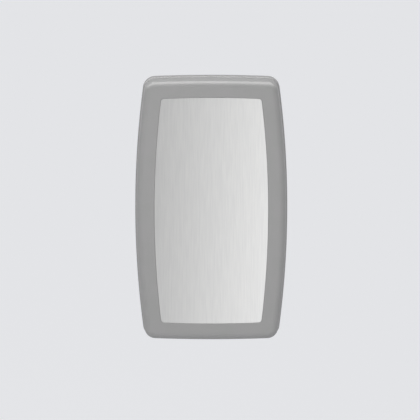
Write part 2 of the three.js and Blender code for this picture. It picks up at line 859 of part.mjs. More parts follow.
function webbing(from, to, thickness, width) {
  const under = panStretch(from, to);
  const over = under.map(([x, y]) => [x, y + thickness]).reverse();
  const shape = new THREE.Shape([...under, ...over].map(([x, y]) => new THREE.Vector2(x, y)));
  return plateInXY(shape, width);
}

function addStrap() {
  const strapStart = anchorEnd + clearance;
  const strapEnd = unitWidth / 2 - buckleLength / 2 - clearance;
  for (const [side, turn] of [['left', Math.PI], ['right', 0]]) {
    const anchor = webbing(anchorStart, anchorEnd, anchorThickness, anchorWidth);
    const strap = webbing(strapStart, strapEnd, strapThickness, strapWidth);
    const mirrored = (geometry) => (turn ? mirrorX(geometry) : geometry);
    addPiece(`strap_anchor_${side}`, mirrored(anchor), blackNylon);
    addPiece(`strap_${side}`, mirrored(strap), blackWebbing);
  }
}

// Mirror image across the middle plane, with its faces turned to point out again
function mirrorX(geometry) {
  const flat = geometry.index ? geometry.toNonIndexed() : geometry;
  const corners = flat.attributes.position;
  const points = [];
  for (let i = 0; i < corners.count; i += 3) {
    for (const j of [i, i + 2, i + 1]) {
      points.push(new THREE.Vector3(-corners.getX(j), corners.getY(j), corners.getZ(j)));
    }
  }
  return new THREE.BufferGeometry().setFromPoints(points);
}

function addBuckle() {
  const half = buckleWidth / 2;
  const plate = block([-buckleLength / 2, buckleLength / 2], [buckleBack, bucklePlateTop], [-half, half]);
  const cheeks = [-half, half - cheekThickness].map((z) => block(
    [-bucklePinSetback - cheekLength / 2, -bucklePinSetback + cheekLength / 2],
    [buckleBack, buckleBack + cheekHeight],
    [z, z + cheekThickness],
  ));
  const bore = alongZ(rod(bucklePinRadius + clearance, unitHeight));
  bore.translate(-bucklePinSetback, bucklePinY, 0);
  addPiece('buckle_base', geometryOf(cut(joined(plate, ...cheeks), bore)), blackNylon);
  const pin = alongZ(rod(bucklePinRadius, buckleWidth));
  addPiece('buckle_pin', pin, zincSteel).position.set(-bucklePinSetback, bucklePinY, 0);
  const leverHalf = half - cheekThickness - softClearance;
  const top = bucklePinY + leverBarrelRadius;
  const barrel = alongZ(rod(leverBarrelRadius, 2 * leverHalf)).translate(-bucklePinSetback, bucklePinY, 0);
  const tab = block(
    [-bucklePinSetback, -bucklePinSetback + buckleLeverLength],
    [top - buckleLeverPlate, top],
    [-leverHalf, leverHalf],
  );
  addPiece('buckle_lever', geometryOf(cut(joined(barrel, tab), bore)), blackNylon);
}

addWallShell();
addChassis();
addMountSpacers();
addHingeWallLeaf();
addHingeBedLeaf();
addHingePin();
addBedShell();
addSteelPanel();
addBedPan();
addBedStiffeners();
addGasLever();
addGasBracket();
addGasSpring();
addLinerTray();
addLinerDoor();
addBagHooks();
addBumpers();
addStrap();
addBuckle();

export default station;
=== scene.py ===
import json
import math

import bmesh
import bpy
from mathutils import Matrix, Vector


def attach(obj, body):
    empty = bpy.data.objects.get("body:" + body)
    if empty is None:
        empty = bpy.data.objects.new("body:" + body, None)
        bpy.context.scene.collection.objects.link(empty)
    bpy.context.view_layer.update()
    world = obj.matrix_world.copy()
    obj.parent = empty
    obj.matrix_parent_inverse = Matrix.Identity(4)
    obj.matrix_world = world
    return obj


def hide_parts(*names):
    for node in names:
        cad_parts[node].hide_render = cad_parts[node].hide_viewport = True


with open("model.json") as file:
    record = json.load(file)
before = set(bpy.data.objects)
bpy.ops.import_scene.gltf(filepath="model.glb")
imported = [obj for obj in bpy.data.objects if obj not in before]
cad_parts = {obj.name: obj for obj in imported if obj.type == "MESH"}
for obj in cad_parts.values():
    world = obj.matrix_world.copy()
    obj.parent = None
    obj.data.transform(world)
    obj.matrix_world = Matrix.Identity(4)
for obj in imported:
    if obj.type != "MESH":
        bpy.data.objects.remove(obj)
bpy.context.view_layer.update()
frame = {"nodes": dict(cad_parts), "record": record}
scene = bpy.context.scene
scene.view_settings.view_transform = "Standard"
mm = 0.001
boreReach = 200  # mm, past both ends of any bored piece
bothSides = ((-1, "left"), (1, "right"))
print("frame loaded:", len(frame["nodes"]), "nodes")


# small tools

def hexColour(code):
    channels = [int(code[i:i + 2], 16) / 255 for i in (1, 3, 5)]
    linear = [c / 12.92 if c <= 0.04045 else ((c + 0.055) / 1.055) ** 2.4 for c in channels]
    return (*linear, 1.0)


# stops are the places and colours along a colour ramp
def addNode(tree, kind, values=None, links=None, stops=(), **settings):
    node = tree.nodes.new(kind)
    for name, value in settings.items():
        setattr(node, name, value)
    for socket, value in (values or {}).items():
        node.inputs[socket].default_value = value
    for socket, source in (links or {}).items():
        tree.links.new(source, node.inputs[socket])
    for i, (place, colour) in enumerate(stops):
        ramp = node.color_ramp.elements
        stop = ramp[i] if i < len(ramp) else ramp.new(place)
        stop.position, stop.color = place, colour
    return node


def newMaterial(name, surface):
    material = bpy.data.materials.new(name)
    material.use_nodes = True
    tree = material.node_tree
    shader = tree.nodes["Principled BSDF"]
    for socket, value in surface.items():
        shader.inputs[socket].default_value = value
    return material, tree, shader


def activate(obj):
    bpy.ops.object.select_all(action="DESELECT")
    obj.select_set(True)
    bpy.context.view_layer.objects.active = obj


def applyModifier(obj, kind, **settings):
    activate(obj)
    modifier = obj.modifiers.new(kind.lower(), kind)
    for name, value in settings.items():
        setattr(modifier, name, value)
    bpy.ops.object.modifier_apply(modifier=modifier.name)


def smooth(obj, angle=35):
    activate(obj)
    bpy.ops.object.shade_smooth_by_angle(angle=math.radians(angle))
    applyModifier(obj, "WEIGHTED_NORMAL", keep_sharp=True)  # flats stay flat beside small rounds


def finishPiece(obj, material, body, nodes=()):
    obj.data.materials.clear()
    obj.data.materials.append(material)
    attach(obj, body)
    if nodes:
        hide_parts(*nodes)
    return obj


def cutAway(obj, cutters, operation="DIFFERENCE"):
    for cutter in cutters:
        applyModifier(obj, "BOOLEAN", object=cutter, operation=operation, solver="EXACT")
        bpy.data.objects.remove(cutter)


def unite(obj, others):
    cutAway(obj, others, "UNION")


# joins leave slivers and spare edges that would pinch a bevel shut
def cleanJoins(obj, gap=0.02, flat=0.5):
    activate(obj)
    bpy.ops.object.mode_set(mode="EDIT")
    bpy.ops.mesh.select_all(action="SELECT")
    bpy.ops.mesh.remove_doubles(threshold=gap * mm)
    bpy.ops.mesh.dissolve_degenerate(threshold=gap * mm)
    bpy.ops.mesh.dissolve_limited(angle_limit=math.radians(flat))
    bpy.ops.object.mode_set(mode="OBJECT")


def bevelEdges(obj, width, segments=2, angle=40):
    applyModifier(obj, "BEVEL", width=width * mm, segments=segments, limit_method="ANGLE",
                  angle_limit=math.radians(angle))


def keepAbove(obj, z):
    activate(obj)
    bpy.ops.object.mode_set(mode="EDIT")
    bpy.ops.mesh.select_all(action="SELECT")
    bpy.ops.mesh.bisect(plane_co=(0, 0, z * mm), plane_no=(0, 0, 1), use_fill=True,
                        clear_inner=True)
    bpy.ops.object.mode_set(mode="OBJECT")


def copyPiece(source, name, matrix):
    piece = source.copy()
    piece.data = source.data.copy()
    piece.name = piece.data.name = name
    scene.collection.objects.link(piece)
    piece.data.transform(matrix)
    return piece


def boxMesh(name, x, y, z, bevel=0):
    bpy.ops.object.select_all(action="DESELECT")
    bpy.ops.mesh.primitive_cube_add(size=1)
    obj = bpy.context.object
    obj.name = obj.data.name = name
    bpy.ops.object.mode_set(mode="EDIT")
    bpy.ops.mesh.select_all(action="SELECT")
    bpy.ops.transform.resize(value=[(b - a) * mm for a, b in (x, y, z)])
    bpy.ops.transform.translate(value=[(a + b) / 2 * mm for a, b in (x, y, z)])
    bpy.ops.object.mode_set(mode="OBJECT")
    if bevel:
        applyModifier(obj, "BEVEL", width=bevel * mm, segments=3, limit_method="ANGLE")
    return obj


def barMesh(name, axis, centre, span, radius, bevel=0, sides=48):
    middle = [value * mm for value in centre]
    middle["XYZ".index(axis)] = (span[0] + span[1]) / 2 * mm
    turn = {"X": (0, math.pi / 2, 0), "Y": (math.pi / 2, 0, 0), "Z": (0, 0, 0)}[axis]
    bpy.ops.object.select_all(action="DESELECT")
    bpy.ops.mesh.primitive_cylinder_add(vertices=sides, radius=radius * mm,
                                        depth=(span[1] - span[0]) * mm,
                                        location=middle, rotation=turn)
    obj = bpy.context.object
    obj.name = obj.data.name = name
    bpy.ops.object.transform_apply(location=True, rotation=True, scale=True)
    if bevel:
        applyModifier(obj, "BEVEL", width=bevel * mm, segments=3, limit_method="ANGLE")
    return obj


# a circle is laid along the first ring, then its edge is extruded from ring to ring
def sweepRings(name, rings):
    bpy.ops.object.select_all(action="DESELECT")
    bpy.ops.mesh.primitive_circle_add(vertices=len(rings[0]), radius=1)
    obj = bpy.context.object
    obj.name = obj.data.name = name
    order = obj.data.attributes.new("order", "INT", "POINT")
    for i, item in enumerate(order.data):
        item.value = i
    bpy.ops.object.mode_set(mode="EDIT")
    bpy.ops.mesh.select_all(action="SELECT")
    for i, ring in enumerate(rings):
        if i:
            bpy.ops.mesh.extrude_region_move()
        edit = bmesh.from_edit_mesh(obj.data)
        place = edit.verts.layers.int["order"]
        for vertex in edit.verts:
            if vertex.select:
                vertex.co = ring[vertex[place]]
        bmesh.update_edit_mesh(obj.data)
        if i == 0:
            bpy.ops.mesh.edge_face_add()
            bpy.ops.mesh.select_mode(type="EDGE")
            bpy.ops.mesh.region_to_loop()
    bpy.ops.mesh.edge_face_add()
    bpy.ops.mesh.select_mode(type="VERT")
    bpy.ops.mesh.select_all(action="SELECT")
    bpy.ops.mesh.normals_make_consistent(inside=False)
    bpy.ops.object.mode_set(mode="OBJECT")
    obj.data.attributes.remove(obj.data.attributes["order"])
    return obj


# rings round a line along Z, for pieces whose radius changes on the way
def turnedPiece(name, profile, sides=48):
    angles = [2 * math.pi * i / sides for i in range(sides)]
    return sweepRings(name, [[Vector((r * math.cos(a), r * math.sin(a), z)) * mm for a in angles]
                             for r, z in profile])


# outlines in mm: barrel-sided, with arcs for the sides, ends and corners
unitShape = {"width": 512, "height": 892, "bulge": 32, "crown": 5, "corner": 42}
panelShape = {"width": 383, "height": 768, "bulge": 23.5, "crown": 4, "corner": 12}
outlineMesh = {"side": 20, "corner": 14, "end": 10, "leastCorner": 12}


def arcRadius(chord, rise):
    return (chord * chord / 4 + rise * rise) / (2 * rise)


def arc(x, y, radius, start, end, steps):
    angles = [math.radians(start + (end - start) * i / steps) for i in range(steps + 1)]
    return [(x + radius * math.cos(a), y + radius * math.sin(a)) for a in angles]


# each corner's arc touches the side's and the end's, so its centre is where two circles cross
def outlineRing(shape, inset, y, corner=None):
    if corner is None:
        corner = max(shape["corner"] - inset, outlineMesh["leastCorner"])
    sideRadius = arcRadius(shape["height"], shape["bulge"])
    endRadius = arcRadius(shape["width"] - 2 * shape["bulge"], shape["crown"])
    sideX = shape["width"] / 2 - sideRadius
    endZ = shape["height"] / 2 - endRadius
    sideReach, endReach = sideRadius - inset - corner, endRadius - inset - corner
    apart = math.hypot(sideX, endZ)
    along = (sideReach ** 2 - endReach ** 2 + apart ** 2) / (2 * apart)
    across = math.sqrt(sideReach ** 2 - along ** 2)
    cornerX = sideX - (along * sideX + across * endZ) / apart
    cornerZ = (along * endZ - across * sideX) / apart
    sideAngle = math.degrees(math.atan2(cornerZ, cornerX - sideX))
    endAngle = math.degrees(math.atan2(cornerZ - endZ, cornerX))
    quarter = arc(sideX, 0, sideRadius - inset, 0, sideAngle, outlineMesh["side"])[:-1]
    quarter += arc(cornerX, cornerZ, corner, sideAngle, endAngle, outlineMesh["corner"])[:-1]
    quarter += arc(0, endZ, endRadius - inset, endAngle, 90, outlineMesh["end"])
    upper = quarter + [(-x, z) for x, z in reversed(quarter[:-1])]
    ring = upper + [(x, -z) for x, z in reversed(upper[1:-1])]
    return [Vector((x, y, z)) * mm for x, z in ring]


# each run is an outline and the insets and depths at which it is repeated
def sweepProfile(name, *runs):
    return sweepRings(name, [outlineRing(shape, *place) for shape, places in runs
                             for place in places])


# materials: a noise's scale is 1000 over its size in mm

# High-density polyethylene, moulded against a spark-textured tool: an even grey with a soft, broad
# sheen, faint clouding from the melt and a fine grain that only just breaks the highlights. The
# 0.3 mm grain is drawn at 1.1 mm, so that it shows.
def mouldedPolyethylene():
    look = {"colours": ("#9b9b9a", "#9d9c9c"), "clouding": 45, "spread": (0.35, 0.65),
            "grain": 1.1, "roughness": (0.47, 0.55), "bump": 0.12, "relief": 0.1}
    material, tree, shader = newMaterial("polyethylene, moulded", {"IOR": 1.5})
    place = addNode(tree, "ShaderNodeTexCoord").outputs["Object"]
    clouds = addNode(tree, "ShaderNodeTexNoise", {"Scale": 1000 / look["clouding"], "Detail": 3},
                     {"Vector": place})
    tint = addNode(tree, "ShaderNodeValToRGB", links={"Fac": clouds.outputs["Fac"]},
                   stops=zip(look["spread"], map(hexColour, look["colours"])))
    tree.links.new(tint.outputs["Color"], shader.inputs["Base Color"])
    grain = addNode(tree, "ShaderNodeTexNoise", {"Scale": 1000 / look["grain"], "Detail": 2},
                    {"Vector": place})
    low, high = look["roughness"]
    sheen = addNode(tree, "ShaderNodeMapRange", {"To Min": low, "To Max": high},
                    {"Value": grain.outputs["Fac"]})
    tree.links.new(sheen.outputs["Result"], shader.inputs["Roughness"])
    bump = addNode(tree, "ShaderNodeBump",
                   {"Strength": look["bump"], "Distance": look["relief"] * mm},
                   {"Height": grain.outputs["Fac"]})
    tree.links.new(bump.outputs["Normal"], shader.inputs["Normal"])
    return material


# Stainless steel sheet, brushed upright with a belt: reflections smear sideways, across the grain.
# The 0.1 mm scratches are too fine to show from here, so they are drawn 0.5 mm wide, with 4 mm
# streaks among them.
def brushedStainless():
    look = {"colours": ("#c9c9c9", "#d1d1d0"), "spread": (0.38, 0.62), "scratch": 0.5, "streak": 4,
            "length": 80, "roughness": (0.32, 0.42), "bump": 0.06, "relief": 0.05}
    material, tree, shader = newMaterial("stainless steel, brushed",
                                         {"Metallic": 1, "Anisotropic": 0.7})
    place = addNode(tree, "ShaderNodeTexCoord").outputs["Object"]
    layers = []
    for width in (look["scratch"], look["streak"]):
        stretch = (1000 / width, 1000 / width, 1000 / look["length"])
        along = addNode(tree, "ShaderNodeMapping", {"Scale": stretch}, {"Vector": place})
        noise = addNode(tree, "ShaderNodeTexNoise", {"Scale": 1, "Detail": 4},
                        {"Vector": along.outputs["Vector"]})
        layers.append(noise.outputs["Fac"])
    both = addNode(tree, "ShaderNodeMix", {"Factor": 0.5}, {"A": layers[0], "B": layers[1]},
                   data_type="FLOAT")
    tint = addNode(tree, "ShaderNodeValToRGB", links={"Fac": both.outputs["Result"]},
                   stops=zip(look["spread"], map(hexColour, look["colours"])))
    tree.links.new(tint.outputs["Color"], shader.inputs["Base Color"])
    low, high = look["roughness"]
    polish = addNode(tree, "ShaderNodeMapRange", {"To Min": low, "To Max": high},
                     {"Value": both.outputs["Result"]})
    tree.links.new(polish.outputs["Result"], shader.inputs["Roughness"])
    bump = addNode(tree, "ShaderNodeBump",
                   {"Strength": look["bump"], "Distance": look["relief"] * mm},
                   {"Height": layers[0]})
    tree.links.new(bump.outputs["Normal"], shader.inputs["Normal"])
    grain = addNode(tree, "ShaderNodeTangent", direction_type="UV_MAP", uv_map="grain")
    tree.links.new(grain.outputs["Tangent"], shader.inputs["Tangent"])
    return material


# Mild steel, bright zinc plated in a barrel: a cool silver with a faint cloudy bloom and fine rubs.
def zincPlate():
    look = {"colours": ("#b5b8ba", "#c4c6c7"), "bloom": 14, "spread": (0.3, 0.7), "rub": 1.5,
            "roughness": (0.28, 0.46)}
    material, tree, shader = newMaterial("mild steel, zinc plated", {"Metallic": 1})
    place = addNode(tree, "ShaderNodeTexCoord").outputs["Object"]
    bloom = addNode(tree, "ShaderNodeTexNoise", {"Scale": 1000 / look["bloom"], "Detail": 5},
                    {"Vector": place})
    tint = addNode(tree, "ShaderNodeValToRGB", links={"Fac": bloom.outputs["Fac"]},
                   stops=zip(look["spread"], map(hexColour, look["colours"])))
    tree.links.new(tint.outputs["Color"], shader.inputs["Base Color"])
    rub = addNode(tree, "ShaderNodeTexNoise", {"Scale": 1000 / look["rub"], "Detail": 2},
                  {"Vector": place})
    low, high = look["roughness"]
    polish = addNode(tree, "ShaderNodeMapRange", {"To Min": low, "To Max": high},
                     {"Value": rub.outputs["Fac"]})
    tree.links.new(polish.outputs["Result"], shader.inputs["Roughness"])
    return material


# One noise for both shade and surface, for the plain dark or polished pieces. Tool grain and
# grinding marks are finer than this on the real ones, and are drawn as coarse as they need to show.
def grainedMaterial(name, colours, grain, roughness, bump, surface, relief=0.1):
    material, tree, shader = newMaterial(name, surface)
    place = addNode(tree, "ShaderNodeTexCoord").outputs["Object"]
    noise = addNode(tree, "ShaderNodeTexNoise", {"Scale": 1000 / grain, "Detail": 3},
                    {"Vector": place})
    tint = addNode(tree, "ShaderNodeValToRGB", links={"Fac": noise.outputs["Fac"]},
                   stops=zip((0, 1), map(hexColour, colours)))
    tree.links.new(tint.outputs["Color"], shader.inputs["Base Color"])
    low, high = roughness
    polish = addNode(tree, "ShaderNodeMapRange", {"To Min": low, "To Max": high},
                     {"Value": noise.outputs["Fac"]})
    tree.links.new(polish.outputs["Result"], shader.inputs["Roughness"])
    swell = addNode(tree, "ShaderNodeBump", {"Strength": bump, "Distance": relief * mm},
                    {"Height": noise.outputs["Fac"]})
    tree.links.new(swell.outputs["Normal"], shader.inputs["Normal"])
    return material


# Nylon webbing, woven: plain-weave ribs across the tape, dull, with a light catch on each thread:
# the sheen and bump are real, and the raised crossings are painted lighter as a painted highlight.
# The 1.2 mm picks are drawn twice as coarse, so that they show.
def wovenWebbing():
    look = {"colours": ("#17181a", "#3a3c40"), "pick": 2.4, "bump": 0.7, "relief": 0.25}
    bands = math.tau / 20 / (look["pick"] * mm)  # a wave repeats each tau / 20
    material, tree, shader = newMaterial("nylon webbing, woven",
                                         {"Roughness": 0.82, "Sheen Weight": 0.25})
    place = addNode(tree, "ShaderNodeUVMap", uv_map="weave").outputs["UV"]
    ribs = addNode(tree, "ShaderNodeTexWave", {"Scale": bands}, {"Vector": place},
                   bands_direction="X")
    ends = addNode(tree, "ShaderNodeTexWave", {"Scale": bands}, {"Vector": place},
                   bands_direction="Y")
    crossing = addNode(tree, "ShaderNodeMath",
                       links={0: ribs.outputs["Fac"], 1: ends.outputs["Fac"]}, operation="SUBTRACT")
    weave = addNode(tree, "ShaderNodeMath", links={0: crossing.outputs["Value"]},
                    operation="ABSOLUTE")
    # painted highlight: the raised crossings of the weave are coloured lighter than the dark tape
    tint = addNode(tree, "ShaderNodeValToRGB", links={"Fac": weave.outputs["Value"]},
                   stops=zip((0, 1), map(hexColour, look["colours"])))
    tree.links.new(tint.outputs["Color"], shader.inputs["Base Color"])
    bump = addNode(tree, "ShaderNodeBump",
                   {"Strength": look["bump"], "Distance": look["relief"] * mm},
                   {"Height": weave.outputs["Value"]})
    tree.links.new(bump.outputs["Normal"], shader.inputs["Normal"])
    return material


polyethylene = mouldedPolyethylene()
stainless = brushedStainless()
zinc = zincPlate()
webbing = wovenWebbing()
# Moulded nylon: near black, satin, with a fine tool grain
nylon = grainedMaterial("nylon, moulded", ("#1b1c1e", "#26272a"), grain=1.0,
                        roughness=(0.4, 0.52), bump=0.15, surface={"IOR": 1.53})
# Compression-moulded rubber: black, dull and slightly dusty
rubber = grainedMaterial("rubber, moulded", ("#161718", "#232425"), grain=2.0,
                         roughness=(0.75, 0.9), bump=0.2, surface={"IOR": 1.5})
# Powder coat on a steel tube: black with the low orange peel of the cured film
powderCoat = grainedMaterial("steel tube, powder coated", ("#1c1d1f", "#232426"), grain=1.8,
                             roughness=(0.32, 0.42), bump=0.25, surface={"IOR": 1.5})
# Hard chrome on a ground rod: a clear mirror with a trace of grinding
hardChrome = grainedMaterial("steel rod, hard chromed", ("#cfd2d5", "#d9dbdd"), grain=3.0,
                             roughness=(0.08, 0.14), bump=0.02, surface={"Metallic": 1})
# Bonded polyester thread: a shade lighter than the tape it holds
thread = grainedMaterial("polyester thread, bonded", ("#35373a", "#55575b"), grain=0.6,
                         roughness=(0.5, 0.65), bump=0.2, surface={"IOR": 1.5})
print("materials made")


# camera: a little above the middle, from far off
view = {"elevation": 8.8, "distance": 40, "frame": 1412, "aimX": -4.3, "aimZ": -4.8, "aimY": -60,
        "sensor": 36, "clip": 200}


def addCamera():
    tilt = math.radians(view["elevation"])
    aim = Vector((view["aimX"], view["aimY"], view["aimZ"])) * mm
    back = Vector((0, -math.cos(tilt), math.sin(tilt)))
    bpy.ops.object.camera_add(location=aim + back * view["distance"])
    camera = bpy.context.object
    camera.rotation_euler = (-back).to_track_quat("-Z", "Y").to_euler()
    camera.data.sensor_width = view["sensor"]
    camera.data.lens = view["sensor"] * view["distance"] / (view["frame"] * mm)
    camera.data.clip_end = view["clip"]
    scene.camera = camera


addCamera()
print("camera set")


# front shell of the bed: let-in seat for the panel, flat border, deep round, drafted flank and an
# open back; a narrow strip, the hold, keeps the border flat beside its rounds
bedShell = {"face": -110, "round": 24, "side": 5.5, "rim": 4, "rimY": -40.8, "rimRound": 1,
            "wall": 3.5, "faceWall": 6.5, "recess": -107.9, "seatIn": 4, "gap": 0.15, "lip": 1.3,
            "hold": 0.6, "steps": {"lip": 5, "round": 18, "rim": 4, "inside": 8}}


def makeBedShell():
    b, steps = bedShell, bedShell["steps"]
    turn = b["face"] + b["round"]
    inner = b["round"] - b["faceWall"]
    insideSide = b["side"] + b["wall"]
    lipIn = -b["gap"] - b["lip"]
    seat = [(b["seatIn"], b["recess"]), (-b["gap"], b["recess"])]
    seat += arc(lipIn, b["face"] + b["lip"], b["lip"], 0, -90, steps["lip"])
    seat += [(lipIn - b["hold"], b["face"])]
    rest = [(b["side"] + b["round"] + b["hold"], b["face"])]
    rest += arc(b["side"] + b["round"], turn, b["round"], -90, -180, steps["round"])
    rest += arc(b["rim"] + b["rimRound"], b["rimY"] - b["rimRound"], b["rimRound"], 180, 90,
                steps["rim"])
    rest += [(b["rim"] + b["wall"], b["rimY"])]
    rest += arc(insideSide + inner, turn, inner, -180, -90, steps["inside"])
    return sweepProfile("front_shell", (panelShape, seat), (unitShape, rest))


frontShell = makeBedShell()
smooth(frontShell)
finishPiece(frontShell, polyethylene, "bed", ["bed_shell"])
print("front shell made")


# stainless sheet with a rolled edge
sheetMetal = {"front": -109.2, "back": -108.2, "edge": 0.9, "flat": 8, "hold": 0.2, "steps": 4}


def makePanel():
    s = sheetMetal
    profile = [(s["flat"], s["front"]), (s["edge"] + s["hold"], s["front"])]
    profile += arc(s["edge"], s["front"] + s["edge"], s["edge"], -90, -180, s["steps"])
    profile += [(0, s["back"])]
    panel = sweepProfile("front_panel", (panelShape, profile))
    grain = panel.data.uv_layers.new(name="grain")
    for loop in panel.data.loops:
        place = panel.data.vertices[loop.vertex_index].co
        grain.data[loop.index].uv = (place.z, place.x)  # U runs up, along the brushing
    return panel


frontPanel = makePanel()
smooth(frontPanel)
finishPiece(frontPanel, stainless, "bed", ["steel_panel"])
print("panel made")


# hollow changing surface on the back of the bed, notched for the hinge
pan = {"flange": -37, "wall": 3.5, "edge": 4.5, "edgeSteps": 8, "start": 22, "run": 100,
       "depth": 54, "steps": 22, "cornerTop": 20, "cornerFloor": 60, "notchX": (-118, 118),
       "notchY": (-91, -30), "notchZ": (-433, -407), "notchRound": 4}


def panY(t):  # t goes from 0 at the flange to 1 on the floor
    return pan["flange"] - pan["depth"] * t * t * (3 - 2 * t)


def makePan():
    slope = []
    for i in range(pan["steps"] + 1):
        t = i / pan["steps"]
        corner = pan["cornerTop"] + (pan["cornerFloor"] - pan["cornerTop"]) * t
        slope.append((pan["start"] + pan["run"] * t, panY(t), corner))
    front, half = pan["flange"] - pan["wall"], pan["wall"] / 2
    profile = [(i, y - pan["wall"], corner) for i, y, corner in reversed(slope)]
    profile += arc(pan["edge"] + half, front + half, half, -90, -270, pan["edgeSteps"])
    body = sweepProfile("changing_pan", (unitShape, profile + slope))
    cutAway(body, [boxMesh("notch", pan["notchX"], pan["notchY"], pan["notchZ"],
                           pan["notchRound"])])
    return body


changingPan = makePan()
smooth(changingPan)
finishPiece(changingPan, polyethylene, "bed", ["bed_pan"])
print("pan made")


# wall body: a tray open to the wall, its rim just behind the bed, cut for the hinge, gas spring,
# liner door and wall screws
wallBody = {"rim": -34, "round": 9, "draft": 0.5, "rimInner": 18, "drop": 6, "lean": -22,
            "widest": -16, "backEdge": 1.2, "wall": 3.5, "behind": 2,
            "floorEase": ((3, 0), (1, -0.3), (-0.6, -1)),
            "rimEase": ((1, 1.2), (-0.4, 0.3), (-2, 0)),
            "steps": {"round": 12, "edge": 4, "inside": 8}, "bottom": -422, "below": -436,
            "through": (-60, 4), "hingeX": (-118, 118), "hingeTop": -407, "gasX": (144, 176),
            "gasTop": -374, "cutRound": 3, "linerX": (-130.2, 130.2), "linerY": (-60, -10),
            "linerZ": (268, 346), "linerRound": 2, "screwX": (-203.2, 203.2),
            "screwZ": (340, 0, -340), "screwR": 4.5}


def makeWallBody():
    w, rim, edge, steps = wallBody, wallBody["rim"], wallBody["backEdge"], wallBody["steps"]
    floorY, floorIn = rim + w["drop"], w["rimInner"] + w["drop"]
    bend = (w["draft"] + w["round"], rim + w["round"])
    outer = [(floorIn + i, floorY + y) for i, y in w["floorEase"]]
    outer += [(w["rimInner"] + i, rim + y) for i, y in w["rimEase"]]
    outer += arc(*bend, w["round"], -90, -180, steps["round"])
    outer += [(w["draft"] / 3, w["lean"]), (0, w["widest"]), (0, -edge)]
    outer += arc(edge, -edge, edge, 180, 90, steps["edge"])[1:]
    slant = w["wall"] * (math.sqrt(2) - 1)
    hollow = [(floorIn - slant, floorY + w["wall"]), (w["rimInner"] - slant, rim + w["wall"])]
    hollow += arc(*bend, w["round"] - w["wall"], -90, -180, steps["inside"])
    hollow += [(w["wall"], w["widest"]), (w["wall"], w["behind"])]
    body = sweepProfile("wall_body", (unitShape, outer))
    inside = sweepProfile("wall_inside", (unitShape, hollow))
    keepAbove(body, w["bottom"])
    keepAbove(inside, w["bottom"] + w["wall"])
    cutters = [inside,
               boxMesh("hinge_cut", w["hingeX"], w["through"], (w["below"], w["hingeTop"]),
                       w["cutRound"]),
               boxMesh("gas_cut", w["gasX"], w["through"], (w["below"], w["gasTop"]),
                       w["cutRound"]),
               boxMesh("liner_cut", w["linerX"], w["linerY"], w["linerZ"], w["linerRound"])]
    cutters += [barMesh("screw_hole", "Y", (x, 0, z), w["through"], w["screwR"], sides=32)
                for x in w["screwX"] for z in w["screwZ"]]
    cutAway(body, cutters)
    return body


wallPiece = makeWallBody()
smooth(wallPiece)
finishPiece(wallPiece, polyethylene, "wall_unit", ["wall_shell"])
print("wall body made")


# screws: one raised head with a cross recess, copied to each place
screwHead = {"radius": 4, "rise": 1.1, "angles": (-25, 0, 18, 36, 54, 70, 82), "sides": 32,
             "cross": (0.9, 4.4), "crossDepth": 0.9}


def makeScrew():
    head, angles = screwHead, [math.radians(a) for a in screwHead["angles"]]
    profile = [(head["radius"] * math.cos(a), head["rise"] * math.sin(a)) for a in angles]
    screw = turnedPiece("screw", profile, head["sides"])
    wide, long = head["cross"][0] / 2, head["cross"][1] / 2
    depth = (head["rise"] - head["crossDepth"], head["rise"] * 2)
    cutAway(screw, [boxMesh("cross", (-long, long), (-wide, wide), depth),
                    boxMesh("cross", (-wide, wide), (-long, long), depth)])
    smooth(screw, angle=30)
    return screw


screw = makeScrew()


def placeScrew(name, place, towards, body):
    turn = Vector((0, 0, 1)).rotation_difference(Vector(towards)).to_matrix().to_4x4()
    piece = copyPiece(screw, name, Matrix.Translation(Vector(place) * mm) @ turn)
    finishPiece(piece, zinc, body)


# flange screws, evenly round the back of the bed and clear of the hinge
flangeScrews = {"inset": 11, "every": 14.67, "clearX": 135}


def addFlangeScrews():
    ring = outlineRing(unitShape, flangeScrews["inset"], pan["flange"])
    count = 0
    for step in range(int(len(ring) / flangeScrews["every"])):
        place = ring[round(step * flangeScrews["every"]) % len(ring)] / mm
        if place.z > 0 or abs(place.x) > flangeScrews["clearX"]:
            count += 1
            placeScrew(f"flange_screw_{count}", place, (0, 1, 0), "bed")


addFlangeScrews()
print("screws placed")


# main hinge: two bent leaves with knuckles on one pin; the knuckles stand a hair proud of the sheet
hinge = {"y": -30, "z": -420, "knuckle": 9, "bore": 5.3, "sheet": 4, "edge": 0.6, "proud": 0.05,
         "relief": 9.6, "half": 110, "wallLength": 30, "wallBack": -3.3, "wallRise": 36,
         "bedStart": 17, "bedEnd": 78, "bedFront": -98.8, "bedBack": -94.8, "bedRise": 116,
         "pin": 5, "pinPast": 0.3, "pinEdge": 0.8, "head": 7.5, "headLength": 3, "headEdge": 1}
hingeCentre = (0, hinge["y"], hinge["z"])


def makeLeaf(name, plates, knuckles, reliefs):
    h, proud, reach = hinge, hinge["proud"], hinge["relief"]
    leaf = boxMesh(name, *plates[0])
    unite(leaf, [boxMesh("plate", *plates[1])])
    around = ((h["y"] - reach, h["y"] + reach), (h["z"] - reach, h["z"] + reach))
    cutAway(leaf, [boxMesh("relief", span, *around) for span in reliefs])
    cleanJoins(leaf)
    bevelEdges(leaf, h["edge"])
    unite(leaf, [barMesh("knuckle", "X", hingeCentre, (start - proud, end + proud), h["knuckle"],
                         h["edge"]) for start, end in knuckles])
    cutAway(leaf, [barMesh("bore", "X", hingeCentre, (-boreReach, boreReach), h["bore"])])
    smooth(leaf)
    return leaf


def makeWallLeaf():
    h, width = hinge, (-hinge["half"], hinge["half"])
    top, back = h["z"] + h["knuckle"] - h["proud"], h["wallBack"]
    inner, middle = h["half"] - h["wallLength"], h["wallLength"] / 2
    ledge = (width, (h["y"], back), (top - h["sheet"], top))
    upright = (width, (back - h["sheet"], back), (top - h["sheet"], top + h["wallRise"]))
    return makeLeaf("wall_leaf", (ledge, upright),
                    ((-h["half"], -inner), (-middle, middle), (inner, h["half"])),
                    ((-inner, -middle), (middle, inner)))


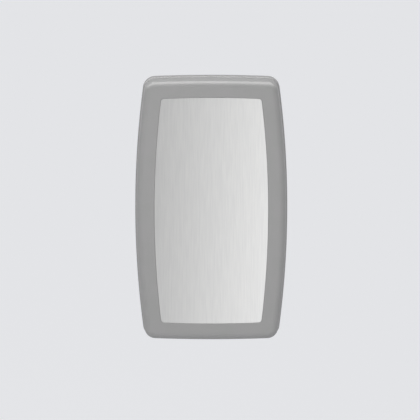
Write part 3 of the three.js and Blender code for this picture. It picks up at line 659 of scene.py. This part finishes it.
def makeBedLeaf():
    h, width = hinge, (-hinge["bedEnd"], hinge["bedEnd"])
    bottom = h["z"] - h["knuckle"] + h["proud"]
    ledge = (width, (h["bedFront"], h["y"]), (bottom, bottom + h["sheet"]))
    upright = (width, (h["bedFront"], h["bedBack"]), (bottom, bottom + h["bedRise"]))
    return makeLeaf("bed_leaf", (ledge, upright),
                    ((-h["bedEnd"], -h["bedStart"]), (h["bedStart"], h["bedEnd"])),
                    ((-h["bedStart"], h["bedStart"]),))


def makeHingePin():
    h, end = hinge, hinge["half"] + hinge["pinPast"]
    shaft = barMesh("pin", "X", hingeCentre, (-end, end + h["headLength"]), h["pin"], h["pinEdge"])
    unite(shaft, [barMesh("pin_head", "X", hingeCentre, (-end - h["headLength"], -end), h["head"],
                          h["headEdge"])])
    smooth(shaft)
    return shaft


finishPiece(makeWallLeaf(), zinc, "wall_unit", ["hinge_wall_leaf"])
finishPiece(makeBedLeaf(), zinc, "bed", ["hinge_bed_leaf"])
finishPiece(makeHingePin(), zinc, "wall_unit", ["hinge_pin"])
print("hinge made")


# gas spring, built upright on its pivot and then tilted; each ease is (in from the radius, up)
gas = {"x": 160, "y": -13, "z": -230, "tilt": -1.2072, "length": 202.773,
       "radius": 7.5, "top": -13.3, "tube": 91, "topEase": ((2, 0), (0.6, -0.5), (0, -2)),
       "crimp": 14, "crimpEase": ((0, 3), (0.7, 1.5), (0.7, -1.5), (0, -3)),
       "endEase": ((0, 3), (0.5, 1.2), (1.6, 0)), "boreFrom": 2, "boreShort": 10, "gap": 0.3,
       "rod": 4, "rodEdge": 0.6, "engaged": 39, "eye": 9, "eyeThickness": 9, "eyeEdge": 0.5,
       "neck": 6, "neckLength": 13, "stud": 4.3, "pin": 3.8}


def tiltGas(piece):
    pivot = Matrix.Translation(Vector((gas["x"], gas["y"], gas["z"])) * mm)
    piece.data.transform(pivot @ Matrix.Rotation(math.radians(gas["tilt"]), 4, "X"))
    smooth(piece)
    return piece


def makeCylinder():
    g, top, bottom = gas, gas["top"], gas["top"] - gas["tube"]
    eases = ((top, "topEase"), (bottom + g["crimp"], "crimpEase"), (bottom, "endEase"))
    tube = turnedPiece("gas_tube", [(g["radius"] - i, z + up) for z, ease in eases
                                    for i, up in g[ease]])
    cutAway(tube, [barMesh("bore", "Z", (0, 0, 0), (bottom - g["boreFrom"], top - g["boreShort"]),
                           g["rod"] + g["gap"])])
    return tiltGas(tube)


def makeRod():
    g, r, edge = gas, gas["rod"], gas["rodEdge"]
    top = g["top"] - g["tube"] + g["engaged"]
    bottom = -g["length"] + g["neckLength"] + g["gap"]
    return tiltGas(turnedPiece("gas_piston", [(r - edge, bottom), (r, bottom + edge),
                                              (r, top - edge), (r - edge, top)]))


def makeEye(name, bore, z, towards):
    half, reach = gas["eyeThickness"] / 2, gas["eye"] * 3
    neck = sorted((z, z + towards * gas["neckLength"]))
    eye = barMesh(name, "X", (0, 0, z), (-half, half), gas["eye"])
    unite(eye, [barMesh("neck", "Z", (0, 0, 0), neck, gas["neck"])])
    cutAway(eye, [boxMesh("flat", span, (-reach, reach), (z - reach, z + reach))
                  for span in ((-reach, -half), (half, reach))])
    cutAway(eye, [barMesh("bore", "X", (0, 0, z), (-reach, reach), bore)])
    cleanJoins(eye)
    bevelEdges(eye, gas["eyeEdge"])
    return tiltGas(eye)


finishPiece(makeCylinder(), powderCoat, "gas_cylinder", ["gas_cylinder"])
finishPiece(makeEye("gas_tail", gas["stud"], 0, -1), zinc, "gas_cylinder",
            ["gas_tail_eye"])
finishPiece(makeRod(), hardChrome, "gas_rod", ["gas_rod"])
finishPiece(makeEye("gas_end", gas["pin"], -gas["length"], 1), zinc, "gas_rod",
            ["gas_rod_eye"])
print("gas spring made")


# liner door: a flat lid with a pull-out slot and a barrel along its bottom edge
liner = {"half": 128.4, "front": -28, "wall": 3.5, "bottom": 274.8, "top": 344.2, "edge": 0.9,
         "pinY": -20.4, "barrel": 5, "bore": 2.3, "slotHalf": 45, "slotHeight": 14,
         "slotZ": 310.4, "slotPast": 3}


def makeLinerDoor():
    lid, width, pin = liner, (-liner["half"], liner["half"]), (0, liner["pinY"], liner["bottom"])
    back, past = lid["front"] + lid["wall"], lid["slotPast"]
    through, half = (lid["front"] - past, back + past), lid["slotHeight"] / 2
    reach = lid["slotHalf"] - half
    door = boxMesh("liner_lid", width, (lid["front"], back), (lid["bottom"], lid["top"]))
    unite(door, [barMesh("barrel", "X", pin, width, lid["barrel"])])
    cuts = [boxMesh("slot", (-reach, reach), through, (lid["slotZ"] - half, lid["slotZ"] + half))]
    cuts += [barMesh("slot_end", "Y", (x, 0, lid["slotZ"]), through, half) for x in (-reach, reach)]
    cuts += [barMesh("bore", "X", pin, (-boreReach, boreReach), lid["bore"])]
    cutAway(door, cuts)
    cleanJoins(door)
    bevelEdges(door, lid["edge"], segments=3)
    smooth(door)
    return door


finishPiece(makeLinerDoor(), polyethylene, "liner_door", ["liner_door"])
print("liner door made")


# bag hooks: a screwed plate and a round-edged bar spun into a J
hook = {"x": 170.2, "z": 180, "front": -31.3, "plate": (30, 3, 46), "plateEdge": 1.2, "width": 12,
        "bar": 7, "root": 1, "inner": 3.5, "throat": 13.5, "turnSteps": 10, "lip": 12, "edge": 2.2,
        "weld": 0.01, "screwRise": 16}


def makeHook(side):
    k, x = hook, side * hook["x"]
    throat, under = k["front"] - k["throat"], k["z"] - k["inner"]
    bar = boxMesh("hook_bar", (x - k["width"] / 2, x + k["width"] / 2),
                  (throat, k["front"] + k["root"]), (under - k["bar"], under))
    bpy.ops.object.mode_set(mode="EDIT")
    bpy.ops.mesh.select_mode(type="FACE")
    bpy.ops.mesh.select_all(action="DESELECT")
    edit = bmesh.from_edit_mesh(bar.data)
    min(edit.faces, key=lambda face: face.calc_center_median().y).select = True
    bmesh.update_edit_mesh(bar.data)
    bpy.ops.mesh.spin(steps=k["turnSteps"], angle=math.pi / 2, axis=(1, 0, 0),
                      center=(x * mm, throat * mm, k["z"] * mm))
    rise = (k["lip"] + k["bar"] / 2) * mm
    bpy.ops.mesh.extrude_region_move(TRANSFORM_OT_translate={"value": (0, 0, rise)})
    bpy.ops.mesh.select_mode(type="VERT")
    bpy.ops.mesh.select_all(action="SELECT")
    bpy.ops.mesh.remove_doubles(threshold=k["weld"] * mm)
    bpy.ops.mesh.normals_make_consistent(inside=False)
    bpy.ops.object.mode_set(mode="OBJECT")
    bevelEdges(bar, k["edge"], segments=4, angle=50)
    wide, thick, tall = k["plate"]
    plate = boxMesh("bag_hook", (x - wide / 2, x + wide / 2), (k["front"], k["front"] + thick),
                    (k["z"] - tall / 2, k["z"] + tall / 2), k["plateEdge"])
    unite(plate, [bar])
    smooth(plate)
    return plate


for side, word in bothSides:
    piece = makeHook(side)
    piece.name = f"hook_{word}"
    finishPiece(piece, polyethylene, "wall_unit", [f"bag_hook_{word}"])
    for rise, end in ((hook["screwRise"], "upper"), (-hook["screwRise"], "lower")):
        placeScrew(f"hook_screw_{word}_{end}", (side * hook["x"], hook["front"], hook["z"] + rise),
                   (0, -1, 0), "wall_unit")
print("hooks made")


# safety strap: webbing halves laid on the pan, folded and box-stitched at their anchors
strap = {"width": 38, "thick": 1.5, "edge": 0.35, "lift": 0.7, "gap": 0.1, "from": 38.3,
         "to": 225.7, "fold": 46, "stations": 90, "across": 6, "stretch": 1.12, "stitch": 4.2,
         "stitchEnds": (0.15, 0.85), "thread": 0.45, "boxIn": 4}


def panDepth(inset):
    return panY(min(max((inset - pan["start"]) / pan["run"], 0), 1))


# a place on the pan, this far in from the unit's side and lifted off the surface
def strapPoint(side, inset, z, lift):
    slope = panDepth(inset + 0.5) - panDepth(inset - 0.5)  # over 1 mm
    away = Vector((-slope, 1)).normalized() * lift
    x = unitShape["width"] / 2 - inset - away.x
    return Vector((side * x, panDepth(inset) + away.y, z)) * mm


def makeTape(name, side, start, end, lift):
    bpy.ops.object.select_all(action="DESELECT")
    bpy.ops.mesh.primitive_grid_add(x_subdivisions=strap["stations"],
                                    y_subdivisions=strap["across"], size=2)
    tape = bpy.context.object
    tape.name = tape.data.name = name
    weave = tape.data.uv_layers.new(name="weave")
    half, run = strap["width"] / 2, end - start
    for loop in tape.data.loops:
        flat = tape.data.vertices[loop.vertex_index].co
        weave.data[loop.index].uv = ((flat.x + 1) / 2 * run * strap["stretch"] * mm,
                                     flat.y * half * mm)
    for vertex in tape.data.vertices:
        inset = start + run * (vertex.co.x + 1) / 2
        vertex.co = strapPoint(side, inset, vertex.co.y * half, lift)
    applyModifier(tape, "SOLIDIFY", thickness=strap["thick"] * mm, offset=0)
    activate(tape)
    bpy.ops.object.mode_set(mode="EDIT")
    bpy.ops.mesh.select_all(action="SELECT")
    bpy.ops.mesh.normals_make_consistent(inside=False)
    bpy.ops.object.mode_set(mode="OBJECT")
    bevelEdges(tape, strap["edge"], angle=50)
    smooth(tape, angle=50)
    return tape


# a box of stitches with a cross in it
def makeStitches(name, side, start, end, lift):
    half = strap["width"] / 2 - strap["boxIn"]
    low, high = start + strap["boxIn"], end - strap["boxIn"]
    corners = [(low, -half), (high, -half), (high, half), (low, half), (low, -half), (high, half)]
    runs = list(zip(corners, corners[1:])) + [((high, -half), (low, half))]
    parts = []
    for (i0, z0), (i1, z1) in runs:
        count = round(math.hypot(i1 - i0, z1 - z0) / strap["stitch"])
        for k in range(count):
            ends = [(k + t) / count for t in strap["stitchEnds"]]
            a, b = [strapPoint(side, i0 + (i1 - i0) * t, z0 + (z1 - z0) * t, lift) for t in ends]
            bpy.ops.mesh.primitive_uv_sphere_add(segments=8, ring_count=6, radius=1)
            stitch = bpy.context.object
            turn = (b - a).to_track_quat("Z", "Y").to_matrix().to_4x4()
            thick, long = strap["thread"] * mm, (b - a).length / 2
            stitch.data.transform(Matrix.Translation((a + b) / 2) @ turn
                                  @ Matrix.Diagonal((thick, thick, long, 1)))
            parts.append(stitch)
    activate(parts[0])
    for stitch in parts:
        stitch.select_set(True)
    bpy.ops.object.join()
    parts[0].name = parts[0].data.name = name
    smooth(parts[0], angle=60)
    return parts[0]


for side, word in bothSides:
    start, foldEnd = strap["from"], strap["from"] + strap["fold"]
    lift = strap["lift"] + strap["thick"] / 2
    tape = makeTape(f"webbing_{word}", side, start, strap["to"], lift)
    finishPiece(tape, webbing, "bed", [f"strap_{word}"])
    fold = makeTape(f"webbing_fold_{word}", side, start, foldEnd,
                    lift + strap["thick"] + strap["gap"])
    finishPiece(fold, webbing, "bed")
    stitches = makeStitches(f"stitching_{word}", side, start, foldEnd,
                            lift + 1.5 * strap["thick"] + 2 * strap["gap"])
    finishPiece(stitches, thread, "bed")
print("straps made")


# strap anchors: rounded plates that follow the pan's slope, each with two screws
anchor = {"from": 24, "to": 38, "width": 48, "thick": 2.4, "edge": 0.8, "lift": 0.6, "screwZ": 14}
for side, word in bothSides:
    low, high = [strapPoint(side, inset, 0, anchor["lift"]) / mm
                 for inset in (anchor["from"], anchor["to"])]
    plate = boxMesh(f"anchor_{word}", sorted((low.x, high.x)), (0, anchor["thick"]),
                    (-anchor["width"] / 2, anchor["width"] / 2), anchor["edge"])
    for vertex in plate.data.vertices:
        along = (vertex.co.x / mm - low.x) / (high.x - low.x)
        vertex.co.y += (low.y + (high.y - low.y) * along) * mm
    smooth(plate)
    finishPiece(plate, nylon, "bed", [f"strap_anchor_{word}"])
    top = (low + high) / 2 + Vector((0, anchor["thick"], 0))
    towards = (side * (high.y - low.y), side * (low.x - high.x), 0)
    for z, end in ((-anchor["screwZ"], "lower"), (anchor["screwZ"], "upper")):
        placeScrew(f"anchor_screw_{word}_{end}", (top.x, top.y, z), towards, "bed")
print("anchors made")


# cam buckle: a plate with two cheeks, and a ribbed lever between them
buckle = {"half": 30, "width": 24, "back": -90.4, "plate": 2.5, "edge": 1, "cheek": 4,
          "cheekX": (-22, 6), "cheekRise": 11.5, "pinX": -8, "pinY": -83.3, "bore": 2.3,
          "barrel": 4, "lever": 36, "leverPlate": 2, "leverHalf": 19.4, "leverEdge": 0.35,
          "ribs": 5, "rib": 1.3, "ribGap": 2.6, "ribEnd": 3, "ribIn": 4, "ribY": (-1, 0.7)}
bucklePin = (buckle["pinX"], buckle["pinY"], 0)


def makeBuckle():
    b, back = buckle, buckle["back"]
    base = boxMesh("buckle_plate", (-b["half"], b["half"]), (back, back + b["plate"]),
                   (-b["width"], b["width"]))
    unite(base, [boxMesh("cheek", b["cheekX"], (back, back + b["cheekRise"]), (z, z + b["cheek"]))
                 for z in (-b["width"], b["width"] - b["cheek"])])
    cutAway(base, [barMesh("bore", "Z", bucklePin, (-boreReach, boreReach), b["bore"])])
    cleanJoins(base)
    bevelEdges(base, b["edge"], segments=3)
    smooth(base)
    return base


def makeBuckleLever():
    b, span = buckle, (-buckle["leverHalf"], buckle["leverHalf"])
    top, end = b["pinY"] + b["barrel"], b["pinX"] + b["lever"]
    lever = boxMesh("cam_lever", (b["pinX"], end), (top - b["leverPlate"], top), span)
    unite(lever, [barMesh("barrel", "Z", bucklePin, span, b["barrel"])])
    ribs = [end - b["ribEnd"] - i * b["ribGap"] for i in range(b["ribs"])]
    ribY, ribZ = [top + y for y in b["ribY"]], (span[0] + b["ribIn"], span[1] - b["ribIn"])
    unite(lever, [boxMesh("rib", (x - b["rib"], x), ribY, ribZ) for x in ribs])
    cutAway(lever, [barMesh("bore", "Z", bucklePin, (-boreReach, boreReach), b["bore"])])
    cleanJoins(lever)
    bevelEdges(lever, b["leverEdge"])
    smooth(lever)
    return lever


finishPiece(makeBuckle(), nylon, "bed", ["buckle_base"])
finishPiece(makeBuckleLever(), nylon, "buckle_lever", ["buckle_lever"])
bpy.data.objects.remove(screw)
print("buckle made")


# carried-over nodes: their shapes are right, so each takes its finish
nodeFinish = {"hdpe_grey": polyethylene, "zinc_steel": zinc, "black_nylon": nylon,
              "black_rubber": rubber}
for part in frame["record"]["subparts"]:
    node = frame["nodes"][part["node"]]
    if not node.hide_render:
        node.data.materials.clear()
        node.data.materials.append(nodeFinish[part["material_slot"]])
print("carried-over nodes finished")


# floor, backdrop and light: a pale room, a soft strip overhead and a shaded card before the sheet
room = {"colour": "#e3e4e7", "floorSize": 120, "floorZ": -1250, "floorLift": 0.33, "world": 0.7,
        "behind": 0.62, "fade": (-0.2, 0.6)}


def emptyTree(owner):
    owner.use_nodes = True
    owner.node_tree.nodes.clear()
    return owner.node_tree


def backgroundSeen(tree):  # 1 where the camera, a gloss or a clear piece looks at the background
    path = addNode(tree, "ShaderNodeLightPath").outputs
    gloss = addNode(tree, "ShaderNodeMath", operation="MAXIMUM",
                    links={0: path["Is Camera Ray"], 1: path["Is Glossy Ray"]})
    clear = addNode(tree, "ShaderNodeMath", operation="MAXIMUM",
                    links={0: gloss.outputs["Value"], 1: path["Is Transmission Ray"]})
    return clear.outputs["Value"]


def addFloor():
    bpy.ops.object.select_all(action="DESELECT")
    bpy.ops.mesh.primitive_plane_add(size=room["floorSize"], location=(0, 0, room["floorZ"] * mm))
    floor = bpy.context.object
    floor.name = "floor"
    material = bpy.data.materials.new("floor, matt paint")
    tree = emptyTree(material)
    colour = hexColour(room["colour"])
    lift = addNode(tree, "ShaderNodeMath", {1: room["floorLift"]}, {0: backgroundSeen(tree)},
                   operation="MULTIPLY")
    paint = addNode(tree, "ShaderNodeBsdfDiffuse", {"Color": colour})
    glow = addNode(tree, "ShaderNodeEmission", {"Color": colour},
                   {"Strength": lift.outputs["Value"]})
    top = addNode(tree, "ShaderNodeAddShader", links={0: paint.outputs[0], 1: glow.outputs[0]})
    below = addNode(tree, "ShaderNodeNewGeometry").outputs["Backfacing"]  # clear from underneath
    clear = addNode(tree, "ShaderNodeBsdfTransparent")
    mix = addNode(tree, "ShaderNodeMixShader",
                  links={0: below, 1: top.outputs[0], 2: clear.outputs[0]})
    addNode(tree, "ShaderNodeOutputMaterial", links={"Surface": mix.outputs[0]})
    floor.data.materials.append(material)


def addWorld():
    scene.world = bpy.data.worlds.new("pale room")
    tree = emptyTree(scene.world)
    place = addNode(tree, "ShaderNodeTexCoord").outputs["Generated"]
    towards = addNode(tree, "ShaderNodeSeparateXYZ", links={"Vector": place})
    near, far = room["fade"]
    level = addNode(tree, "ShaderNodeMapRange",
                    {"From Min": near, "From Max": far, "To Min": room["world"],
                     "To Max": room["behind"]}, {"Value": towards.outputs["Y"]})
    plain = addNode(tree, "ShaderNodeBackground", {"Color": (1, 1, 1, 1)},
                    {"Strength": level.outputs["Result"]})
    pale = addNode(tree, "ShaderNodeBackground",
                   {"Color": hexColour(room["colour"]), "Strength": 1})
    mix = addNode(tree, "ShaderNodeMixShader",
                  links={0: backgroundSeen(tree), 1: plain.outputs[0], 2: pale.outputs[0]})
    addNode(tree, "ShaderNodeOutputWorld", links={"Surface": mix.outputs[0]})


# a sheet of light for the metal, from dim on the left to bright on the right, seen only in
# reflections
card = {"size": 2.6, "place": (0, -1.3, -0.2), "level": 1.77, "down": -0.15,
        "across": ((-1.0, 0.48), (-0.45, 0.22), (0, 0.6), (0.45, 0.98), (1.0, 0.56))}


def addCard():
    bpy.ops.object.select_all(action="DESELECT")
    bpy.ops.mesh.primitive_plane_add(size=card["size"], location=card["place"],
                                     rotation=(math.pi / 2, 0, 0))
    sheet = bpy.context.object
    sheet.name = "card"
    material = bpy.data.materials.new("card, lit")
    tree = emptyTree(material)
    half = card["size"] / 2
    place = addNode(tree, "ShaderNodeTexCoord").outputs["Object"]
    parts = addNode(tree, "ShaderNodeSeparateXYZ", links={"Vector": place})
    across = addNode(tree, "ShaderNodeMapRange", {"From Min": -half, "From Max": half},
                     {"Value": parts.outputs["X"]})
    shade = addNode(tree, "ShaderNodeValToRGB", links={"Fac": across.outputs["Result"]},
                    stops=[((x / half + 1) / 2, (grey, grey, grey, 1))
                           for x, grey in card["across"]])
    level = addNode(tree, "ShaderNodeMath", {1: card["down"] * card["level"], 2: card["level"]},
                    {0: parts.outputs["Y"]}, operation="MULTIPLY_ADD")
    glow = addNode(tree, "ShaderNodeEmission", links={"Color": shade.outputs["Color"],
                                                      "Strength": level.outputs["Value"]})
    addNode(tree, "ShaderNodeOutputMaterial", links={"Surface": glow.outputs[0]})
    sheet.data.materials.append(material)
    sheet.visible_camera = sheet.visible_diffuse = False
    sheet.visible_shadow = sheet.visible_transmission = False


# lamps, in metres and watts: the strip and the gleam only make highlights, the fill makes none
lamps = {"strip": {"place": (0, 0.05, 2.6), "aim": (0, -0.08, 0.4), "size": (5.4, 1.8),
                   "power": 212, "highlight": True},
         "gleam": {"place": (-2.2, 0.7, 1.7), "aim": (-0.22, -0.03, 0.43), "size": (0.9, 0.9),
                   "power": 25, "highlight": True},
         "fill": {"place": (-0.45, -1.8, 0.4), "aim": (0, -0.1, 0), "size": (1.0, 1.0),
                  "power": 9.4, "highlight": False}}


def addLamp(name, place, aim, size, power, highlight):
    bpy.ops.object.light_add(type="AREA", location=place)
    lamp = bpy.context.object
    lamp.name = name
    lamp.data.shape = "RECTANGLE"
    lamp.data.size, lamp.data.size_y = size
    lamp.data.energy = power
    lamp.rotation_euler = (Vector(aim) - Vector(place)).to_track_quat("-Z", "Y").to_euler()
    lamp.visible_diffuse, lamp.visible_glossy = not highlight, highlight


addFloor()
addWorld()
addCard()
for name, lamp in lamps.items():
    addLamp(name, **lamp)
print("room lit")
